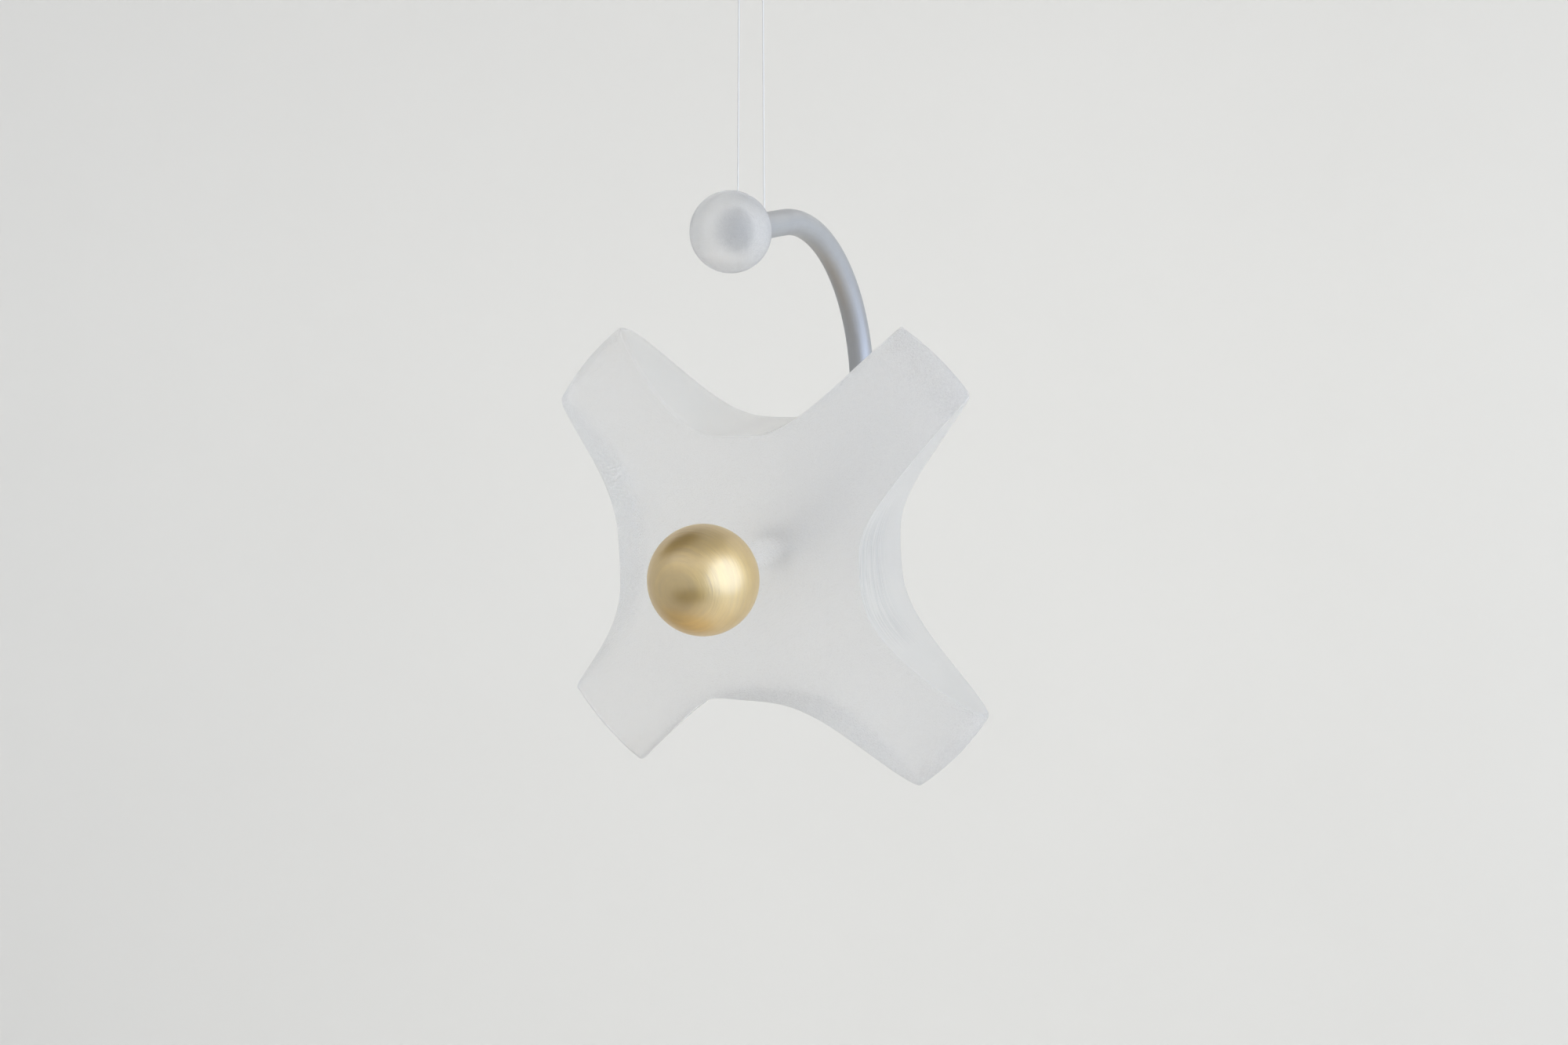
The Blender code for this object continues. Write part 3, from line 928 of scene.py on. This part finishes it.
def brushed_brass():
    """Solid brass turned on a lathe: fine rings round the rod's axis under a thin satin lacquer."""
    made, tree, shader = new_material("brushed_brass")
    place = place_in(tree, ORNAMENT @ Matrix.Translation((0, BRASS_BALL_Y, 0)))
    rings = use(tree, BRUSH_LINES, Place=place, Fineness=BRASS_RING_FINENESS)
    tone = use(tree, MOTTLE, Place=place, Patch=4.5, Light=BRASS_LIGHT, Dark=BRASS_DARK)
    flecks = use(tree, FLECKS, Place=place, Spacing=2.6, Size=0.09, Share=0.25)["Flecks"]
    ringed = maths(tree, "MULTIPLY", rings["Lines"], BRASS_RINGS)
    toned = blended(tree, ringed, tone["Colour"], BRASS_RING_TONE)
    specks = maths(tree, "MULTIPLY", flecks, BRASS_FLECKED)
    give(tree, shader, "Base Color", blended(tree, specks, toned, BRASS_FLECK))
    rough = maths(tree, "MULTIPLY_ADD", rings["Lines"], BRASS_ROUGH_LINES, BRASS_ROUGH)
    give(tree, shader, "Roughness", maths(tree, "MULTIPLY_ADD", tone["Shade"], BRASS_ROUGH_TONE, rough))
    give(tree, shader, "Normal", bumped(tree, rings["Lines"], BRASS_RING_DEPTH))
    give(tree, shader, "Metallic", 1.0)
    give(tree, shader, "Coat Weight", 1.0)
    give(tree, shader, "Coat Roughness", BRASS_LACQUER_ROUGH)
    give(tree, shader, "Coat IOR", BRASS_LACQUER_IOR)
    return made


def clear_nylon():
    """Slightly milky monofilament with faint lengthwise drawing lines."""
    made, tree, shader = new_material("clear_nylon")
    place = place_in(tree, Matrix())
    lines = use(tree, BRUSH_LINES, Place=place, Fineness=NYLON_LINES)
    tone = use(tree, MOTTLE, Place=place, Patch=6.0, Light=NYLON_LIGHT, Dark=NYLON_DARK)
    give(tree, shader, "Base Color", tone["Colour"])
    rough = maths(tree, "MULTIPLY_ADD", lines["Lines"], NYLON_ROUGH_LINES, NYLON_ROUGH)
    give(tree, shader, "Roughness", rough)
    give(tree, shader, "Normal", bumped(tree, lines["Lines"], NYLON_LINE_DEPTH))
    give(tree, shader, "IOR", NYLON_IOR)
    give(tree, shader, "Transmission Weight", NYLON_CLEAR)
    return made


def white_plastic():
    """Moulded plastic with a fine spark-eroded grain and a little dust."""
    made, tree, shader = new_material("white_plastic")
    place = place_in(tree, Matrix())
    tone = use(tree, MOTTLE, Place=place, Patch=3.5, Light=PLASTIC_LIGHT, Dark=PLASTIC_DARK)
    grain = use(tree, MOTTLE, Place=place, Patch=PLASTIC_GRAIN)
    dust = use(tree, FLECKS, Place=place, Spacing=1.6, Size=0.07, Share=0.3)["Flecks"]
    specks = maths(tree, "MULTIPLY", dust, PLASTIC_DUSTED)
    give(tree, shader, "Base Color", blended(tree, specks, tone["Colour"], PLASTIC_DUST))
    rough = maths(tree, "MULTIPLY_ADD", grain["Shade"], PLASTIC_ROUGH_GRAIN, PLASTIC_ROUGH)
    give(tree, shader, "Roughness", rough)
    give(tree, shader, "Normal", bumped(tree, grain["Shade"], PLASTIC_GRAIN_DEPTH))
    return made


# ---------------------------------------------------------------- build

acrylic = frosted_acrylic()
plastic = white_plastic()
brass_hole = BRASS_BALL_RADIUS - ROD_IN_BRASS
frosted_hole = FROSTED_BALL_RADIUS - ROD_IN_FROSTED
brass_middle = Vector((0, BRASS_BALL_Y, 0))
frosted_middle = top_run(FROSTED_BALL_Y)
disc = button(plastic)
lips = thread_lips(plastic)
aluminium = satin_aluminium()
body = star(acrylic)
bar = rod(aluminium)
collar = stop_collar(aluminium)
brass = drilled_ball("brass_sphere", BRASS_BALL_RADIUS, brass_middle, brass_hole, brushed_brass())
frosted = drilled_ball("frosted_sphere", FROSTED_BALL_RADIUS, frosted_middle, frosted_hole, acrylic)
for piece, node, slot in (
    (body, "star", "frosted_acrylic"),
    (bar, "hook_rod", "satin_aluminium"),
    (collar, "hook_rod", "satin_aluminium"),
    (brass, "brass_ball", "brushed_brass"),
    (frosted, "frosted_ball", "frosted_acrylic"),
    (disc, "ceiling_button", "white_plastic"),
    (lips, "ceiling_button", "white_plastic"),
):
    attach(piece, "root")
    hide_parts(node)

line, exit_point = thread(clear_nylon())
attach(line, "root")
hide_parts("hanging_thread")

# ---------------------------------------------------------------- studio

# In metres, and watts for the lights. Each _AT is an azimuth and an elevation in degrees, as
# away_from_star takes them.
COVE_WALL = 1.6
COVE_SWEEP = 0.7
COVE_FLOOR = -0.75
COVE_TOP = 0.75
PAINT_LIGHT = (0.765, 0.757, 0.735, 1)
PAINT_DARK = (0.755, 0.747, 0.725, 1)
PAINT_ROUGH = 0.87
PAINT_ROUGH_TONE = 0.05
CARD_LIGHT = (0.17, 0.14, 0.11, 1)
CARD_DARK = (0.14, 0.11, 0.09, 1)
CARD_ROUGH = 0.9
CARD_THICKNESS = 0.004
FLAG_AWAY = 0.75
LOW_FLAG_AT = (-2, -30)
LOW_FLAG = (0.5, 0.15)
HIGH_FLAG_AT = (-86, 55)
HIGH_FLAG = (0.3, 0.4)
TAN_LIGHT = (0.7, 0.56, 0.38, 1)
TAN_DARK = (0.65, 0.51, 0.34, 1)
TAN_CARD_AT = (-100, -66)
TAN_CARD_AWAY = 0.55
TAN_CARD = (0.26, 0.34)
WINDOW_AT = (75, 7)
WINDOW_AWAY = 1.2
WINDOW_SIZE = (1.9, 1.6)
WINDOW_POWER = 8.2
WINDOW_COLOUR = (0.82, 1.0, 1.35)
FILL_AT = (-95, 10)
FILL_AWAY = 1.1
FILL_SIZE = (0.8, 0.8)
FILL_POWER = 1.35
FILL_COLOUR = (0.94, 1.0, 1.01)
WASH_RISE = -4
WASH_AWAY = 0.6
WASH_AZIMUTH = 195
WASH_SIZE = (1.3, 1.0)
WASH_POWER = 3.1
WASH_COLOUR = (1.0, 0.98, 0.91)
SIDE_WASH_AZIMUTH = 120
SIDE_WASH_SIZE = (1.2, 1.0)
SIDE_WASH_POWER = 3.0
SIDE_WASH_COLOUR = (0.88, 0.97, 1.1)
FLOOR_WASH_AT = (90, -50)
FLOOR_WASH_AWAY = 0.55
FLOOR_WASH_SIZE = (1.0, 1.0)
FLOOR_WASH_POWER = 1.25
FLOOR_WASH_COLOUR = (1.0, 0.92, 0.76)
AIR_LOW = (1.022, 1.007, 0.977)
AIR_HIGH = (0.4, 0.4, 0.4)
AIR_RANGE = (0.5, 0.95)


def cove(finish):
    """A round floor that sweeps up into a wall on all sides."""
    out, up = COVE_WALL - COVE_SWEEP, COVE_FLOOR + COVE_SWEEP
    profile = [(0, COVE_FLOOR), (out, COVE_FLOOR)]
    for k in range(1, 17):
        turn = math.pi / 2 * k / 16
        profile.append((out + COVE_SWEEP * math.sin(turn), up - COVE_SWEEP * math.cos(turn)))
    profile.append((COVE_WALL, COVE_TOP))
    made = turned("studio_cove", profile, 96, finish, Matrix.Rotation(math.pi / 2, 4, "X"))
    made.data.flip_normals()
    return made


def studio_paint():
    made, tree, shader = new_material("studio_paint")
    place = place_in(tree, Matrix())
    tone = use(tree, MOTTLE, Place=place, Patch=260.0, Light=PAINT_LIGHT, Dark=PAINT_DARK)
    give(tree, shader, "Base Color", tone["Colour"])
    rough = maths(tree, "MULTIPLY_ADD", tone["Shade"], PAINT_ROUGH_TONE, PAINT_ROUGH)
    give(tree, shader, "Roughness", rough)
    return made


def card(name, light, dark):
    made, tree, shader = new_material(name)
    tone = use(tree, MOTTLE, Place=place_in(tree, Matrix()), Patch=60.0, Light=light, Dark=dark)
    give(tree, shader, "Base Color", tone["Colour"])
    give(tree, shader, "Roughness", CARD_ROUGH)
    return made


def away_from_star(azimuth, elevation):
    """A direction from the star. Azimuth 0 is in front (-Y), 90 to its right (+X)."""
    a, e = math.radians(azimuth), math.radians(elevation)
    return Vector((math.sin(a) * math.cos(e), -math.cos(a) * math.cos(e), math.sin(e)))


def facing(place, aim):
    return Matrix.Translation(place) @ (place - aim).to_track_quat("Z", "Y").to_matrix().to_4x4()


def flag(name, place, aim, reach, finish):
    """An oval card that keeps light off, unseen by the camera, with its reach to the side and up."""
    wide, tall = reach
    profile = [(0, 0), (1, 0), (1, CARD_THICKNESS), (0, CARD_THICKNESS)]
    upright = Matrix.Rotation(math.pi / 2, 4, "X") @ Matrix.Diagonal((wide, 1, tall, 1))
    made = turned(name, profile, 48, finish, facing(place, aim) @ upright)
    made.visible_camera = False
    return made


def soft_light(name, place, aim, size, power, colour):
    """An oval light, unseen by the camera, that faces its aim."""
    lamp = bpy.data.lights.new(name, "AREA")
    lamp.shape = "ELLIPSE"
    lamp.size, lamp.size_y = size
    lamp.energy = power
    lamp.color = colour
    made = bpy.data.objects.new(name, lamp)
    made.matrix_world = facing(place, aim)
    made.visible_camera = False
    bpy.context.scene.collection.objects.link(made)
    return made


cove(studio_paint())
middle = STAR.to_translation()
grey = card("grey_card", CARD_LIGHT, CARD_DARK)
tan = card("tan_card", TAN_LIGHT, TAN_DARK)
for name, seen_at, away, reach, finish in (
    ("low_flag", LOW_FLAG_AT, FLAG_AWAY, LOW_FLAG, grey),
    ("high_flag", HIGH_FLAG_AT, FLAG_AWAY, HIGH_FLAG, grey),
    ("tan_flag", TAN_CARD_AT, TAN_CARD_AWAY, TAN_CARD, tan),
):
    flag(name, middle + away_from_star(*seen_at) * away, middle, reach, finish)
window_place = middle + away_from_star(*WINDOW_AT) * WINDOW_AWAY
soft_light("window", window_place, middle, WINDOW_SIZE, WINDOW_POWER, WINDOW_COLOUR)
fill_place = middle + away_from_star(*FILL_AT) * FILL_AWAY
fill = soft_light("fill", fill_place, middle, FILL_SIZE, FILL_POWER, FILL_COLOUR)
fill.visible_glossy = False  # it lifts the frost and leaves the metals their darks
for name, azimuth, size, power, colour in (
    ("wall_wash", WASH_AZIMUTH, WASH_SIZE, WASH_POWER, WASH_COLOUR),
    ("side_wash", SIDE_WASH_AZIMUTH, SIDE_WASH_SIZE, SIDE_WASH_POWER, SIDE_WASH_COLOUR),
):
    toward_wall = away_from_star(azimuth, WASH_RISE)
    place = middle + toward_wall * WASH_AWAY
    soft_light(name, place, middle + toward_wall * COVE_WALL, size, power, colour)
over_floor = middle + away_from_star(*FLOOR_WASH_AT) * FLOOR_WASH_AWAY
below = over_floor - Vector((0, 0, 1))
soft_light("floor_wash", over_floor, below, FLOOR_WASH_SIZE, FLOOR_WASH_POWER, FLOOR_WASH_COLOUR)


def studio_air():
    """The light over the cove's rim: brightest low down, darker overhead."""
    world = bpy.data.worlds.new("studio_air")
    world.use_nodes = True
    tree = world.node_tree
    toward = add(tree, "ShaderNodeTexCoord").outputs["Generated"]
    height = add(tree, "ShaderNodeSeparateXYZ", Vector=toward).outputs["Z"]
    share = spread(tree, height, *AIR_RANGE)
    glow = tree.nodes["Background"]
    give(tree, glow, "Color", blended(tree, share, (*AIR_LOW, 1), (*AIR_HIGH, 1)))
    return world


bpy.context.scene.world = studio_air()
bpy.context.scene.view_settings.view_transform = "Standard"

# ---------------------------------------------------------------- camera

CAMERA_AZIMUTH = math.radians(25.6)
CAMERA_DISTANCE = 388.9 * MM
CAMERA_SIDE = 3.25 * MM
CAMERA_RISE = 5.3 * MM

camera = bpy.data.cameras.new("camera")
camera.lens = 50
camera.sensor_width = 36
camera.clip_start = 0.01
eye = bpy.data.objects.new("camera", camera)
level = Vector((math.sin(CAMERA_AZIMUTH), -math.cos(CAMERA_AZIMUTH), 0))
right = Vector((math.cos(CAMERA_AZIMUTH), math.sin(CAMERA_AZIMUTH), 0))
eye.location = middle + level * CAMERA_DISTANCE + right * CAMERA_SIDE + Vector((0, 0, CAMERA_RISE))
eye.rotation_euler = Euler((math.pi / 2, 0, CAMERA_AZIMUTH))
bpy.context.scene.collection.objects.link(eye)
bpy.context.scene.camera = eye
